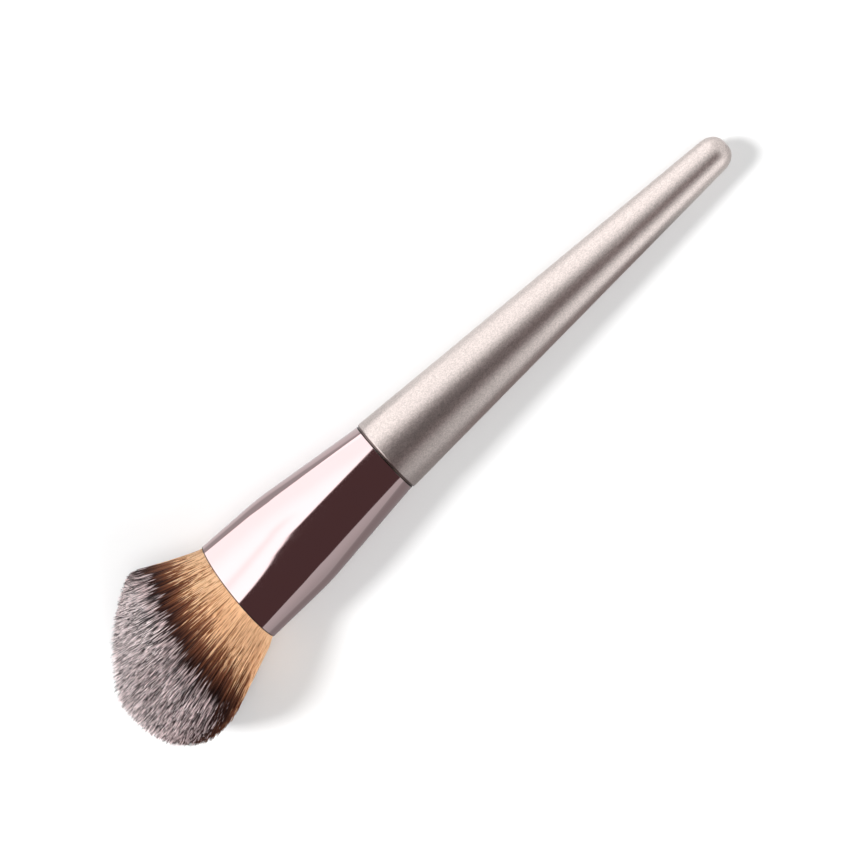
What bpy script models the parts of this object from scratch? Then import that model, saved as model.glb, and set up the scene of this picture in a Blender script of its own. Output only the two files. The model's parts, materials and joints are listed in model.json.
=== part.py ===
"""A foundation brush: a turned and lacquered handle, a pressed aluminium ferrule and a domed, slanted
tuft of three-colour synthetic hair, with the resin, thread and glue that hold them together.

Every piece is modelled upright, with the brush standing on its tail: Z runs along the brush, up to
the hair, and is zero at the ferrule's mouth. X is the thin way through the brush and Y the wide way,
with the short side of the hair at +Y. An empty then lays the whole brush down on its broad side.
Sizes are in metres.
"""

import math
import random

import bmesh
import bpy
from mathutils import Vector

# Ferrule: a tube that is round where the handle enters it and pressed oval at its mouth.
# A soft crease runs round it where the pressed length begins.
FERRULE_LENGTH = 0.0445
FERRULE_WALL = 0.0004
JOINT_RADIUS = 0.00887
CREASE_DEPTH = 0.0173
CREASE_REACH = 0.0035
CREASE_HALF_THICKNESS = 0.0077
CREASE_HALF_WIDTH = 0.0122
MOUTH_HALF_THICKNESS = 0.0072
MOUTH_HALF_WIDTH = 0.0126
ROUND_SQUARENESS = 2.0
PRESSED_SQUARENESS = 2.35
FERRULE_FACETS = 48

# Handle: a long cone with a rounded shoulder at the joint and a domed tail with a small flat.
HANDLE_LENGTH = 0.1006
BELLY_SWELL = 0.00023
BELLY_DROP = 0.0026
SHOULDER_ROUNDING = 0.0004
TAIL_RADIUS = 0.0041
TAIL_DOME_HEIGHT = 0.0041
TAIL_FLAT_RADIUS = 0.0012
DOME_POINTS = 8
SHOULDER_POINTS = 4
TURNED_FACETS = 48
SHARP_DEGREES = 35

# Tenon: the handle's peg inside the ferrule, with two grooves that hold the glue.
TENON_LENGTH = 0.014
TENON_CHAMFER = 0.0007
GROOVE_DEPTH = 0.001
GROOVE_WIDTH = 0.0022
GROOVE_PLACE_SHARES = (0.3, 0.68)

# Clearance between two pieces that touch in the real brush, and the distance that welds two points.
SEAT_GAP = 0.0003
WELD_DISTANCE = 0.000001

# Root block: the resin that the hair roots are set in, with a thread tied round its waist.
ROOT_BLOCK_TOP = 0.0027
ROOT_BLOCK_LENGTH = 0.0135
THREAD_PLACE_SHARE = 0.62
THREAD_GROOVE_WIDTH = 0.0024
THREAD_GROOVE_DEPTH = 0.0011

# Hair: tapered strands, fused to a slice of packed roots just inside the ferrule's mouth.
SLICE_TOP = 0.0004
ROOT_SINK = 0.0005
STRAND_SPACING = 0.00088
ROOT_RADIUS_SHARE = 0.4
MIDDLE_RADIUS_SHARE = 0.6
TIP_RADIUS_SHARE = 0.14
JITTER_SHARE = 0.05
STRAND_SIDES = 3
STRAND_SEED = 7

# The tuft's shape: how far it spreads for each unit of height, where its shoulder is and how high
# its crown.
FLARE_THIN_SHARE = 0.325
FLARE_SHORT_SIDE_SHARE = 0.57
FLARE_LONG_SIDE_SHARE = 0.474
FLARE_FADE_LENGTH = 0.087
SHOULDER_HEIGHT = 0.0196
SLANT_RISE = 0.0044
CROWN_HEIGHT = 0.0353
SHORT_SIDE_CROWN_POWERS = (1.1, 1.0)
LONG_SIDE_CROWN_POWERS = (2.0, 0.62)
TIP_JITTER = 0.0006

# The dye on each hair, measured back from its tip: a pale tip, then a dark band, then tan.
PALE_TIP_LENGTH = 0.0042
DARK_BAND_LENGTH = 0.005

# Colours are linear, with a roughness and a metallic value from the photograph.
LACQUER = ((0.60, 0.515, 0.485), 0.33, 0.96)
POLISHED_METAL = ((0.62, 0.46, 0.46), 0.05, 1.0)
TAN_HAIR = ((0.66, 0.37, 0.2), 0.45, 0.0)
DARK_HAIR = ((0.055, 0.022, 0.016), 0.45, 0.0)
PALE_HAIR = ((0.38, 0.29, 0.29), 0.45, 0.0)
RESIN = ((0.55, 0.42, 0.2), 0.2, 0.0)
THREAD = ((0.8, 0.78, 0.72), 0.8, 0.0)
GLUE = ((0.75, 0.7, 0.55), 0.25, 0.0)


def between(start, end, share):
    return start + (end - start) * share


def make_material(name, finish):
    """A Principled material from a (colour, roughness, metallic) finish."""
    colour, roughness, metallic = finish
    material = bpy.data.materials.new(name)
    material.use_nodes = True
    shader = material.node_tree.nodes["Principled BSDF"]
    shader.inputs["Base Color"].default_value = (*colour, 1.0)
    shader.inputs["Roughness"].default_value = roughness
    shader.inputs["Metallic"].default_value = metallic
    material.diffuse_color = (*colour, 1.0)
    return material


def add_object(name, data, collection, materials=()):
    for material in materials:
        data.materials.append(material)
    piece = bpy.data.objects.new(name, data)
    collection.objects.link(piece)
    return piece


def settle(piece):
    """Turns a piece with modifiers, or a curve, into a plain mesh with smooth faces and sharp edges."""
    graph = bpy.context.evaluated_depsgraph_get()
    mesh = bpy.data.meshes.new_from_object(piece.evaluated_get(graph))
    mesh.shade_smooth()
    mesh.set_sharp_from_angle(angle=math.radians(SHARP_DEGREES))
    name = piece.name
    collection = piece.users_collection[0]
    matrix = piece.matrix_world.copy()
    bpy.data.objects.remove(piece)
    mesh.name = name
    solid = add_object(name, mesh, collection)
    solid.matrix_world = matrix
    return solid


# Ferrule's shape


def along_ferrule(depth, mouth, crease, joint):
    """A size of the ferrule at a depth below its mouth: two straight runs with a soft bend between."""

    def straight(at):
        if at < CREASE_DEPTH:
            return between(mouth, crease, at / CREASE_DEPTH)
        return between(crease, joint, (at - CREASE_DEPTH) / (FERRULE_LENGTH - CREASE_DEPTH))

    start = CREASE_DEPTH - CREASE_REACH
    bend = (depth - start) / (2 * CREASE_REACH)
    if not 0 < bend < 1:
        return straight(depth)
    before = between(straight(start), crease, bend)
    after = between(crease, straight(start + 2 * CREASE_REACH), bend)
    return between(before, after, bend)


def half_sizes(depth, inset):
    """Half the thickness and half the width of the ferrule's outer face at a depth, less an inset."""
    thickness = along_ferrule(depth, MOUTH_HALF_THICKNESS, CREASE_HALF_THICKNESS, JOINT_RADIUS)
    width = along_ferrule(depth, MOUTH_HALF_WIDTH, CREASE_HALF_WIDTH, JOINT_RADIUS)
    return thickness - inset, width - inset


def oval_point(angle, half_thickness, half_width, squareness):
    """A point of an oval whose broad sides are flatter than an ellipse's as squareness passes 2."""
    across, up = math.cos(angle), math.sin(angle)
    scale = (abs(across) ** squareness + abs(up) ** squareness) ** (-1 / squareness)
    return half_thickness * across * scale, half_width * up * scale


def oval_ring(depth, inset):
    """A ring of points round the ferrule's bore or outer face, at a depth below the mouth."""
    half_thickness, half_width = half_sizes(depth, inset)
    squareness = along_ferrule(depth, PRESSED_SQUARENESS, PRESSED_SQUARENESS, ROUND_SQUARENESS)
    ring = []
    for facet in range(FERRULE_FACETS):
        angle = 2 * math.pi * facet / FERRULE_FACETS
        x, y = oval_point(angle, half_thickness, half_width, squareness)
        ring.append(Vector((x, y, -depth)))
    return ring


def loft(name, rings, collection, materials, capped):
    """Skins a stack of rings, listed from the top down, which no primitive or modifier can make."""
    form = bmesh.new()
    loops = [[form.verts.new(point) for point in ring] for ring in rings]
    for upper, lower in zip(loops, loops[1:]):
        for i in range(len(upper)):
            j = (i + 1) % len(upper)
            form.faces.new((upper[j], upper[i], lower[i], lower[j]))
    if capped:
        form.faces.new(loops[0])
        form.faces.new(reversed(loops[-1]))
    mesh = bpy.data.meshes.new(name)
    form.to_mesh(mesh)
    form.free()
    return add_object(name, mesh, collection, materials)


def turn(name, profile, collection, materials):
    """Turns a profile of (radius, height) points, listed down its outer side, round the Z axis."""
    mesh = bpy.data.meshes.new(name)
    points = [(radius, 0, height) for radius, height in profile]
    edges = [(i, i + 1) for i in range(len(points) - 1)]
    if profile[0][0] > 0:
        edges.append((len(points) - 1, 0))
    mesh.from_pydata(points, edges, [])
    piece = add_object(name, mesh, collection, materials)
    screw = piece.modifiers.new("turn", "SCREW")
    screw.steps = TURNED_FACETS
    screw.render_steps = TURNED_FACETS
    screw.use_merge_vertices = True
    screw.merge_threshold = WELD_DISTANCE
    return settle(piece)


# Pieces


def make_ferrule(collection, metal):
    """The pressed tube: an open lofted face, thickened inwards."""
    soft = [CREASE_DEPTH + CREASE_REACH * step for step in (-1, -0.5, 0, 0.5, 1)]
    halfway = between(CREASE_DEPTH + CREASE_REACH, FERRULE_LENGTH, 0.5)
    depths = [0, *soft, halfway, FERRULE_LENGTH]
    rings = [oval_ring(depth, 0) for depth in depths]
    ferrule = loft("ferrule", rings, collection, [metal], capped=False)
    wall = ferrule.modifiers.new("wall", "SOLIDIFY")
    wall.thickness = FERRULE_WALL
    wall.offset = -1
    wall.use_even_offset = True
    return settle(ferrule)


def tenon_radius(depth):
    """The tenon follows the ferrule's bore, which narrows most in the thin way."""
    return half_sizes(depth, FERRULE_WALL + SEAT_GAP)[0]


def groove_depths():
    """The top and bottom of each glue groove, as depths below the mouth."""
    tenon_end = FERRULE_LENGTH - TENON_LENGTH
    middles = [tenon_end + TENON_LENGTH * share for share in GROOVE_PLACE_SHARES]
    return [(middle - GROOVE_WIDTH / 2, middle + GROOVE_WIDTH / 2) for middle in middles]


def quarter_round(centre, radii, start, points):
    """Points of a quarter of an ellipse, clockwise from an angle, as (radius, height)."""
    arc = []
    for step in range(points + 1):
        angle = start - math.pi / 2 * step / points
        arc.append((centre[0] + radii[0] * math.cos(angle), centre[1] + radii[1] * math.sin(angle)))
    return arc


def make_handle(collection, lacquer):
    """The turned handle with its tenon, as one profile from the tenon's end down to the tail."""
    tenon_end = FERRULE_LENGTH - TENON_LENGTH
    shoulder = FERRULE_LENGTH + SEAT_GAP
    tail = shoulder + HANDLE_LENGTH
    belly_radius = JOINT_RADIUS + BELLY_SWELL

    chamfered = tenon_end + TENON_CHAMFER
    profile = [
        (0, -tenon_end),
        (tenon_radius(chamfered) - TENON_CHAMFER, -tenon_end),
        (tenon_radius(chamfered), -chamfered),
    ]
    for top, bottom in groove_depths():
        profile += [
            (tenon_radius(top), -top),
            (tenon_radius(top) - GROOVE_DEPTH, -top),
            (tenon_radius(bottom) - GROOVE_DEPTH, -bottom),
            (tenon_radius(bottom), -bottom),
        ]
    profile.append((tenon_radius(FERRULE_LENGTH), -shoulder))
    profile += quarter_round(
        (belly_radius - SHOULDER_ROUNDING, -shoulder - BELLY_DROP),
        (SHOULDER_ROUNDING, BELLY_DROP),
        math.pi / 2,
        SHOULDER_POINTS,
    )
    profile += quarter_round(
        (TAIL_FLAT_RADIUS, -tail + TAIL_DOME_HEIGHT),
        (TAIL_RADIUS - TAIL_FLAT_RADIUS, TAIL_DOME_HEIGHT),
        0,
        DOME_POINTS,
    )
    profile.append((0, -tail))
    return turn("handle", profile, collection, [lacquer])


def make_glue_ring(number, top, bottom, collection, glue):
    """The hardened glue in one of the tenon's grooves."""
    upper, lower = top + SEAT_GAP, bottom - SEAT_GAP
    thickness = GROOVE_DEPTH - SEAT_GAP
    profile = [
        (tenon_radius(upper), -upper),
        (tenon_radius(lower), -lower),
        (tenon_radius(lower) - thickness, -lower),
        (tenon_radius(upper) - thickness, -upper),
    ]
    return turn(f"tenon_glue_{number}", profile, collection, [glue])


def thread_groove():
    """The top and bottom of the groove that the thread lies in, as depths below the mouth."""
    middle = ROOT_BLOCK_TOP + ROOT_BLOCK_LENGTH * THREAD_PLACE_SHARE
    return middle - THREAD_GROOVE_WIDTH / 2, middle + THREAD_GROOVE_WIDTH / 2


def make_root_block(collection, resin):
    """The resin and hair roots that fill the ferrule's bore behind the mouth."""
    inset = FERRULE_WALL + SEAT_GAP
    top, bottom = thread_groove()
    rings = [
        oval_ring(ROOT_BLOCK_TOP, inset),
        oval_ring(top, inset),
        oval_ring(top, inset + THREAD_GROOVE_DEPTH),
        oval_ring(bottom, inset + THREAD_GROOVE_DEPTH),
        oval_ring(bottom, inset),
        oval_ring(ROOT_BLOCK_TOP + ROOT_BLOCK_LENGTH, inset),
    ]
    return settle(loft("root_resin", rings, collection, [resin], capped=True))


def make_root_thread(collection, thread):
    """The thread wound round the roots, as the band that its turns make."""
    inset = FERRULE_WALL + SEAT_GAP
    top, bottom = thread_groove()
    rings = [oval_ring(top + SEAT_GAP, inset), oval_ring(bottom - SEAT_GAP, inset)]
    band = loft("root_thread", rings, collection, [thread], capped=False)
    wall = band.modifiers.new("wall", "SOLIDIFY")
    wall.thickness = THREAD_GROOVE_DEPTH - SEAT_GAP
    wall.offset = -1
    wall.use_even_offset = True
    return settle(band)


# Tuft


def root_oval():
    """Half the thickness and half the width of the oval that the outermost strands stand on."""
    room = FERRULE_WALL + SEAT_GAP + STRAND_SPACING * ROOT_RADIUS_SHARE
    spread = SLICE_TOP + ROOT_SINK
    flare_wide = max(FLARE_SHORT_SIDE_SHARE, FLARE_LONG_SIDE_SHARE)
    half_thickness = MOUTH_HALF_THICKNESS - room - spread * FLARE_THIN_SHARE
    half_width = MOUTH_HALF_WIDTH - room - spread * flare_wide
    return half_thickness, half_width


def evenly_round(half_thickness, half_width, spacing):
    """Points spaced evenly round an oval, picked from a fine outline by the length along it."""
    outline = []
    for degree in range(361):
        angle = math.radians(degree)
        outline.append(Vector(oval_point(angle, half_thickness, half_width, PRESSED_SQUARENESS)))
    lengths = [0]
    for start, end in zip(outline, outline[1:]):
        lengths.append(lengths[-1] + (end - start).length)
    count = round(lengths[-1] / spacing)
    points = []
    step = 0
    for number in range(count):
        wanted = lengths[-1] * number / count
        while lengths[step + 1] < wanted:
            step += 1
        share = (wanted - lengths[step]) / (lengths[step + 1] - lengths[step])
        points.append(outline[step].lerp(outline[step + 1], share))
    return points


def strand_roots():
    """Where the strands stand: one row round the rim and, inside it, rows that are offset in turn."""
    half_thickness, half_width = root_oval()
    roots = evenly_round(half_thickness, half_width, STRAND_SPACING)
    inner_thickness, inner_width = half_thickness - STRAND_SPACING, half_width - STRAND_SPACING
    row_spacing = STRAND_SPACING * math.sqrt(3) / 2
    rows = math.floor(inner_thickness / row_spacing)
    columns = math.floor(inner_width / STRAND_SPACING)
    for row in range(-rows, rows + 1):
        for column in range(-columns, columns + 1):
            x = row * row_spacing
            y = (column + row % 2 / 2) * STRAND_SPACING
            across, along = abs(x) / inner_thickness, abs(y) / inner_width
            if across**PRESSED_SQUARENESS + along**PRESSED_SQUARENESS <= 1:
                roots.append(Vector((x, y)))
    return roots


def place_in_tuft(root):
    """How near the rim a root stands, from 0 to 1, and how far it leans to the short side, -1 to 1."""
    half_thickness, half_width = root_oval()
    across, along = abs(root.x) / half_thickness, root.y / half_width
    nearness = (across**PRESSED_SQUARENESS + abs(along) ** PRESSED_SQUARENESS) ** (1 / PRESSED_SQUARENESS)
    lean = along / nearness if nearness else 0
    return min(nearness, 1), lean


def fan_out(root, height):
    """Where the strand from a root has got to at a height above the slice's top."""
    half_thickness, half_width = root_oval()
    lean = place_in_tuft(root)[1]
    reach = height - height**2 / (2 * FLARE_FADE_LENGTH)
    flare_wide = between(FLARE_LONG_SIDE_SHARE, FLARE_SHORT_SIDE_SHARE, (1 + lean) / 2)
    x = root.x * (1 + FLARE_THIN_SHARE * reach / half_thickness)
    y = root.y * (1 + flare_wide * reach / half_width)
    return Vector((x, y, height - SLICE_TOP))


def tip_height(root):
    """A dome over the shoulder, cut straight towards the short side and rounded towards the long."""
    nearness, lean = place_in_tuft(root)
    side = (1 + lean) / 2
    shoulder = SHOULDER_HEIGHT - SLANT_RISE * lean
    power = between(LONG_SIDE_CROWN_POWERS[0], SHORT_SIDE_CROWN_POWERS[0], side)
    roundness = between(LONG_SIDE_CROWN_POWERS[1], SHORT_SIDE_CROWN_POWERS[1], side)
    crown = (1 - nearness**power) ** roundness
    return between(shoulder, CROWN_HEIGHT, crown)


def add_strand(curve, root, seeded):
    """One tapered hair: a straight spline through its root, the dye's two edges and its tip."""
    jitter = STRAND_SPACING * JITTER_SHARE
    root = root + Vector((seeded.uniform(-jitter, jitter), seeded.uniform(-jitter, jitter)))
    tip = tip_height(root) + seeded.uniform(-TIP_JITTER, TIP_JITTER)
    dark_end = tip - PALE_TIP_LENGTH
    dark_start = dark_end - DARK_BAND_LENGTH
    base = Vector((root.x, root.y, -SLICE_TOP - ROOT_SINK))
    points = [base, *(fan_out(root, height) for height in (dark_start, dark_end, tip))]
    shares = [ROOT_RADIUS_SHARE, MIDDLE_RADIUS_SHARE, MIDDLE_RADIUS_SHARE, TIP_RADIUS_SHARE]
    spline = curve.splines.new("POLY")
    spline.points.add(len(points) - 1)
    for at, point, share in zip(spline.points, points, shares):
        at.co = (*point, 1)
        at.radius = STRAND_SPACING * share


def strand_section(collection):
    """The triangle of unit radius that every strand is swept from."""
    outline = bpy.data.curves.new("strand_section", "CURVE")
    outline.dimensions = "2D"
    corners = outline.splines.new("POLY")
    corners.points.add(2)
    for number, corner in enumerate(corners.points):
        angle = 2 * math.pi * number / 3
        corner.co = (math.cos(angle), math.sin(angle), 0, 1)
    corners.use_cyclic_u = True
    return add_object("strand_section", outline, collection)


def dye_strands(mesh, strands, dyes):
    """Colours the swept faces: the caps come first in the mesh, then each strand from root to tip."""
    caps = 2 * strands
    for face in mesh.polygons[:caps]:
        face.material_index = len(dyes) - 1
    for number, face in enumerate(mesh.polygons[caps:]):
        face.material_index = number // STRAND_SIDES % len(dyes)


def make_strands(helpers, dyes):
    """Every hair as a closed tapered solid, swept along its spline from one small triangle."""
    section = strand_section(helpers)
    curve = bpy.data.curves.new("strands", "CURVE")
    curve.dimensions = "3D"
    curve.bevel_mode = "OBJECT"
    curve.bevel_object = section
    curve.use_fill_caps = True
    seeded = random.Random(STRAND_SEED)
    roots = strand_roots()
    for root in roots:
        add_strand(curve, root, seeded)
    swept = add_object("strands", curve, helpers, dyes)
    bpy.context.view_layer.update()
    strands = settle(swept)
    dye_strands(strands.data, len(roots), dyes)
    form = bmesh.new()
    form.from_mesh(strands.data)
    bmesh.ops.remove_doubles(form, verts=form.verts, dist=WELD_DISTANCE)
    bmesh.ops.recalc_face_normals(form, faces=form.faces)
    form.to_mesh(strands.data)
    form.free()
    return strands


def make_bristles(collection, helpers, dyes):
    """All the hair, as strands joined to one slice of packed roots."""
    inset = FERRULE_WALL + SEAT_GAP
    rings = [oval_ring(SLICE_TOP, inset), oval_ring(ROOT_BLOCK_TOP - SEAT_GAP, inset)]
    bristles = loft("bristles", rings, collection, dyes, capped=True)
    union = bristles.modifiers.new("strands", "BOOLEAN")
    union.operation = "UNION"
    union.object = make_strands(helpers, dyes)
    return bristles


# Laying the brush down


def lowest_slope(bristles):
    """The slope of the table under the brush: it touches the handle's belly and the lowest hair."""
    graph = bpy.context.evaluated_depsgraph_get()
    mesh = bristles.evaluated_get(graph).to_mesh()
    belly_height = -FERRULE_LENGTH - SEAT_GAP - BELLY_DROP
    belly_radius = JOINT_RADIUS + BELLY_SWELL
    return max(
        math.atan2(-point.co.x - belly_radius, point.co.z - belly_height) for point in mesh.vertices
    )


def lay_down(pieces, helpers, slope, collection):
    """Lays the brush on its broad side, tail at +X, with the box round it centred on the origin."""
    rest = bpy.data.objects.new("brush_rest", None)
    collection.objects.link(rest)
    for item in (*pieces, *helpers):
        item.parent = rest
    rest.rotation_euler = (0, slope - math.pi / 2, 0)
    bpy.context.view_layer.update()
    graph = bpy.context.evaluated_depsgraph_get()
    points = []
    for piece in pieces:
        solid = piece.evaluated_get(graph)
        points += [solid.matrix_world @ vertex.co for vertex in solid.to_mesh().vertices]
    low = Vector(map(min, *points))
    high = Vector(map(max, *points))
    rest.location = (-(low.x + high.x) / 2, -(low.y + high.y) / 2, -low.z)


def main():
    for old in list(bpy.data.objects):
        bpy.data.objects.remove(old)
    brush = bpy.data.collections.new("foundation_brush")
    helpers = bpy.data.collections.new("helpers")
    bpy.context.scene.collection.children.link(brush)
    bpy.context.scene.collection.children.link(helpers)

    dyes = [
        make_material("tan_hair", TAN_HAIR),
        make_material("dark_hair", DARK_HAIR),
        make_material("pale_hair", PALE_HAIR),
    ]
    glue = make_material("tenon_glue", GLUE)
    bristles = make_bristles(brush, helpers, dyes)
    pieces = [
        make_handle(brush, make_material("satin_lacquer", LACQUER)),
        make_ferrule(brush, make_material("polished_aluminium", POLISHED_METAL)),
        make_root_block(brush, make_material("root_resin", RESIN)),
        make_root_thread(brush, make_material("root_thread", THREAD)),
        bristles,
    ]
    for number, (top, bottom) in enumerate(groove_depths(), start=1):
        pieces.append(make_glue_ring(number, top, bottom, brush, glue))
    for helper in helpers.objects:
        helper.hide_render = True
        helper.display_type = "WIRE"
    bpy.context.view_layer.update()
    lay_down(pieces, helpers.objects, lowest_slope(bristles), brush)


main()
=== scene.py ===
# %% [markdown]
# A foundation brush, dressed for its portrait.
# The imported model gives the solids. This lesson keeps their sizes and gives them the looks of the real thing:
# satin lacquer, polished metal and tens of thousands of dyed hairs. Lengths are in metres unless a comment
# says otherwise.

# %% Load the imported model
import json
import math

import bpy
from mathutils import Matrix, Vector


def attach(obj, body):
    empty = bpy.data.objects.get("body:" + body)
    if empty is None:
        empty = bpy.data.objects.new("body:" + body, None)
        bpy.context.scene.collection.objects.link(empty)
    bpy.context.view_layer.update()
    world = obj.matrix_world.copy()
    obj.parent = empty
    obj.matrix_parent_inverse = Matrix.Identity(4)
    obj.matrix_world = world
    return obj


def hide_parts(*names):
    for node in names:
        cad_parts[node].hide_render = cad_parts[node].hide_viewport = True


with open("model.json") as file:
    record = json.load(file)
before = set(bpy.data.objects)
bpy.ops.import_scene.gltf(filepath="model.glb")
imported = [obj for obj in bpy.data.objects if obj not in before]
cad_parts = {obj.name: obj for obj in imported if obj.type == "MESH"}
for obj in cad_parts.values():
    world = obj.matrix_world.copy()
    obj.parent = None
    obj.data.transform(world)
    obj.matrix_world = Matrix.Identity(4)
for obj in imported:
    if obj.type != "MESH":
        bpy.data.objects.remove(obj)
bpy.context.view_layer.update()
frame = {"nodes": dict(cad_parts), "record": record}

print("nodes:", ", ".join(sorted(frame["nodes"])))

# %% [markdown]
# The brush lies on its broad side and slopes a little, because a table touches it at the hair and at the
# handle's thickest place. Its shapes are easier to describe upright: Z along the brush from the ferrule's
# mouth, positive in the hair, X the thin way and Y the wide way. One matrix, LAY_DOWN, carries such a shape
# to its place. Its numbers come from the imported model: the record's mount and the ferrule's two ends.

# %% Find the brush's own axes
tail_mount = frame["record"]["mounts"][0]
TAIL_END = Vector(tail_mount["pos_m"])
TO_HAIR = -Vector(tail_mount["axis"]).normalized()
TO_SHORT_SIDE = Vector((0, 1, 0))
UP_THROUGH = TO_SHORT_SIDE.cross(TO_HAIR)


def lengths_from_tail(node):
    lengths = [(vertex.co - TAIL_END).dot(TO_HAIR) for vertex in frame["nodes"][node].data.vertices]
    return min(lengths), max(lengths)


joint_length, mouth_length = lengths_from_tail("ferrule")
tenon_length = lengths_from_tail("handle")[1]
MOUTH = TAIL_END + TO_HAIR * mouth_length
FERRULE_LENGTH = mouth_length - joint_length
LAY_DOWN = Matrix((UP_THROUGH, TO_SHORT_SIDE, TO_HAIR)).transposed().to_4x4()
LAY_DOWN.translation = MOUTH
print("ferrule, mm:", round(FERRULE_LENGTH * 1000, 2))
print("tenon reaches in, mm:", round((tenon_length - joint_length) * 1000, 2))

# %% [markdown]
# Geometry Nodes make shapes here, and shader nodes make finishes. Both get long formulas, so a Signal stands
# for one output of a node, and Python's own operators on it add the Math nodes. Every other node comes from
# one method, add, which takes the node's type, its sockets' values or links, and its settings.

# %% A helper that turns Python sums into nodes


def both_ways(operation):
    """The method of an operator, and its reflected form, which swaps the two sides."""
    def straight(signal, other):
        return signal.do(operation, signal, other)

    def reflected(signal, other):
        return signal.do(operation, other, signal)

    return straight, reflected


class Signal:
    """One output of a node. Arithmetic on it adds the Math nodes that do the sum."""

    __add__, __radd__ = both_ways("ADD")
    __sub__, __rsub__ = both_ways("SUBTRACT")
    __mul__, __rmul__ = both_ways("MULTIPLY")
    __truediv__, __rtruediv__ = both_ways("DIVIDE")
    __mod__, __rmod__ = both_ways("FLOORED_MODULO")
    __pow__, __rpow__ = both_ways("POWER")
    __lt__, __gt__ = both_ways("LESS_THAN")

    def __init__(self, board, socket):
        self.board = board
        self.socket = socket

    def __neg__(self):
        return self * -1.0

    def __abs__(self):
        return self.do("ABSOLUTE", self)

    def do(self, operation, *values):
        return self.board.do(operation, *values)

    def beside(self, key):
        """Another output of the same node."""
        return Signal(self.board, self.board.find(self.socket.node.outputs, key))


class Board:
    """A node tree that is being wired, for a finish or for a shape."""

    def __init__(self, tree):
        self.tree = tree

    def find(self, sockets, key):
        """A socket by its number, by its identifier, or by the name that its node shows."""
        if isinstance(key, int):
            return sockets[key]
        exact = [socket for socket in sockets if socket.identifier == key]
        shown = [socket for socket in sockets if socket.name == key and socket.enabled]
        return (exact or shown)[0]

    def add(self, kind, values=None, out=0, **settings):
        """Adds a node, its settings first and then its sockets. Gives one of its outputs, if it has any."""
        node = self.tree.nodes.new(kind)
        for name, setting in settings.items():
            setattr(node, name, setting)
        for key, value in (values or {}).items():
            self.plug(self.find(node.inputs, key), value)
        return Signal(self, self.find(node.outputs, out)) if len(node.outputs) else None

    def plug(self, socket, value):
        if isinstance(value, Signal):
            self.tree.links.new(value.socket, socket)
        elif socket.type == "RGBA":
            socket.default_value = (*value[:3], 1.0)
        else:
            socket.default_value = value

    def do(self, operation, *values):
        return self.add("ShaderNodeMath", dict(enumerate(values)), operation=operation)

    def vector(self, x=0.0, y=0.0, z=0.0):
        return self.add("ShaderNodeCombineXYZ", {0: x, 1: y, 2: z})

    def mix(self, share, first, second, blend="MIX"):
        values = {"Factor_Float": share, "A_Color": first, "B_Color": second}
        return self.add("ShaderNodeMix", values, "Result_Color", data_type="RGBA", blend_type=blend)


# %% Small functions for the sums below


def largest(first, second):
    return first.do("MAXIMUM", first, second)


def smallest(first, second):
    return first.do("MINIMUM", first, second)


def beyond(place, start):
    """How far a place lies beyond a start, and 0 before it."""
    return largest(place - start, 0.0)


def between(first, second, share):
    return first + (second - first) * share


def ease(value, low, high):
    values = {"Value": value, "From Min": low, "From Max": high}
    return value.board.add("ShaderNodeMapRange", values, interpolation_type="SMOOTHSTEP")


def fade(value, first, second, low, high):
    """A level that goes softly from the first to the second as a value goes from low to high."""
    return between(first, second, ease(value, low, high))


def swing(chance, width):
    """A chance from 0 to 1 as a step of up to half the width, either way."""
    return (chance - 0.5) * width


def parts(vector):
    x = vector.board.add("ShaderNodeSeparateXYZ", {0: vector}, "X")
    return x, x.beside("Y"), x.beside("Z")


print("sums can be written as Python now")

# %% [markdown]
# A finish is a material round one Principled shader. What is the same all over goes on the shader's own
# sockets as a plain number, and only what changes over the surface is wired.

# %% A helper that starts a finish


class Finish(Board):
    def __init__(self, name, colour, roughness, metallic=0.0, **constants):
        self.material = bpy.data.materials.new(name)
        self.material.use_nodes = True
        self.material.diffuse_color = (*colour, 1.0)
        super().__init__(self.material.node_tree)
        self.shader = self.tree.nodes["Principled BSDF"]
        self.wear({"Base Color": colour, "Roughness": roughness, "Metallic": metallic, **constants})

    def wear(self, values):
        for name, value in values.items():
            self.plug(self.shader.inputs[name], value)

    def show_instead(self, surface):
        self.tree.nodes.remove(self.shader)
        self.plug(self.tree.nodes["Material Output"].inputs["Surface"], surface)

    def place(self):
        """Object coordinates. Every finished piece sits at the origin, so they are the row frame."""
        return self.add("ShaderNodeTexCoord", None, "Object")

    def from_mouth(self, place, direction):
        """How far a place lies from the middle of the ferrule's mouth in a direction."""
        offset = self.add("ShaderNodeVectorMath", {0: place, 1: MOUTH}, operation="SUBTRACT")
        return self.add("ShaderNodeVectorMath", {0: offset, 1: direction}, "Value", operation="DOT_PRODUCT")

    def noise(self, vector, scale, detail=2.0, roughness=0.5):
        values = {"Vector": vector, "Scale": scale, "Detail": detail, "Roughness": roughness}
        return self.add("ShaderNodeTexNoise", values, "Fac")

    def grain(self, vector, scales, detail, turn=(0.0, 0.0, 0.0)):
        """Noise that is stretched one way, by a scale for each axis."""
        return self.noise(self.stretched(vector, scales, turn), 1.0, detail)

    def stretched(self, vector, scales, turn=(0.0, 0.0, 0.0)):
        return self.add("ShaderNodeMapping", {"Vector": vector, "Rotation": turn, "Scale": scales})

    def cells(self, vector, scale, out):
        return self.add("ShaderNodeTexVoronoi", {"Vector": vector, "Scale": scale}, out)

    def shaded(self, colour, red, green, blue):
        """A colour times a level for each of its three lights."""
        return self.mix(1.0, colour, self.vector(red, green, blue), "MULTIPLY")

    def coat(self, colour, roughness, height=None, depth=0.0, strength=1.0):
        """Wires what varies, and a height from 0 to 1 as a relief of some depth. Gives the material."""
        self.wear({"Base Color": colour, "Roughness": roughness})
        if height:
            values = {"Height": height, "Distance": depth, "Strength": strength}
            self.wear({"Normal": self.add("ShaderNodeBump", values)})
        return self.material


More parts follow.
